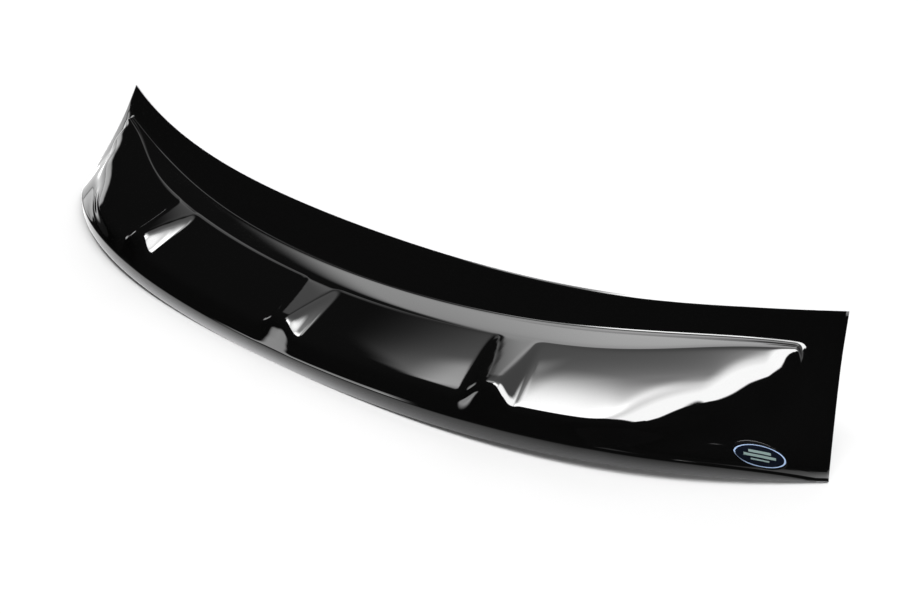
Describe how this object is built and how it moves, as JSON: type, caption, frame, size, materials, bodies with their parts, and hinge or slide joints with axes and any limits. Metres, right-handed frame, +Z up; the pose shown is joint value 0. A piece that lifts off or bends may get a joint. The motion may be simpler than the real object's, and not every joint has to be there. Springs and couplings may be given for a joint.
{
  "type": "hood deflector",
  "caption": "Curved gloss black hood deflector, one thermoformed sheet with a raised ribbed panel, a flat rear flange and a turned-down front lip, with an oval sticker at one corner.",
  "frame": {"origin": "on the ground under the middle of the sheet's box, which is on its plane of symmetry", "axes": "+X along the band to the corner that has the sticker, -Y towards the front lip and the wind, +Z up"},
  "size_m": [1.3034, 0.2994, 0.1541],
  "materials": {
    "sheet": "high gloss",
    "sticker": "gloss, printed"
  },
  "bodies": {
    "root": {"deflector_sheet": "sheet", "oval_sticker": "sticker"}
  },
  "joints": []
}
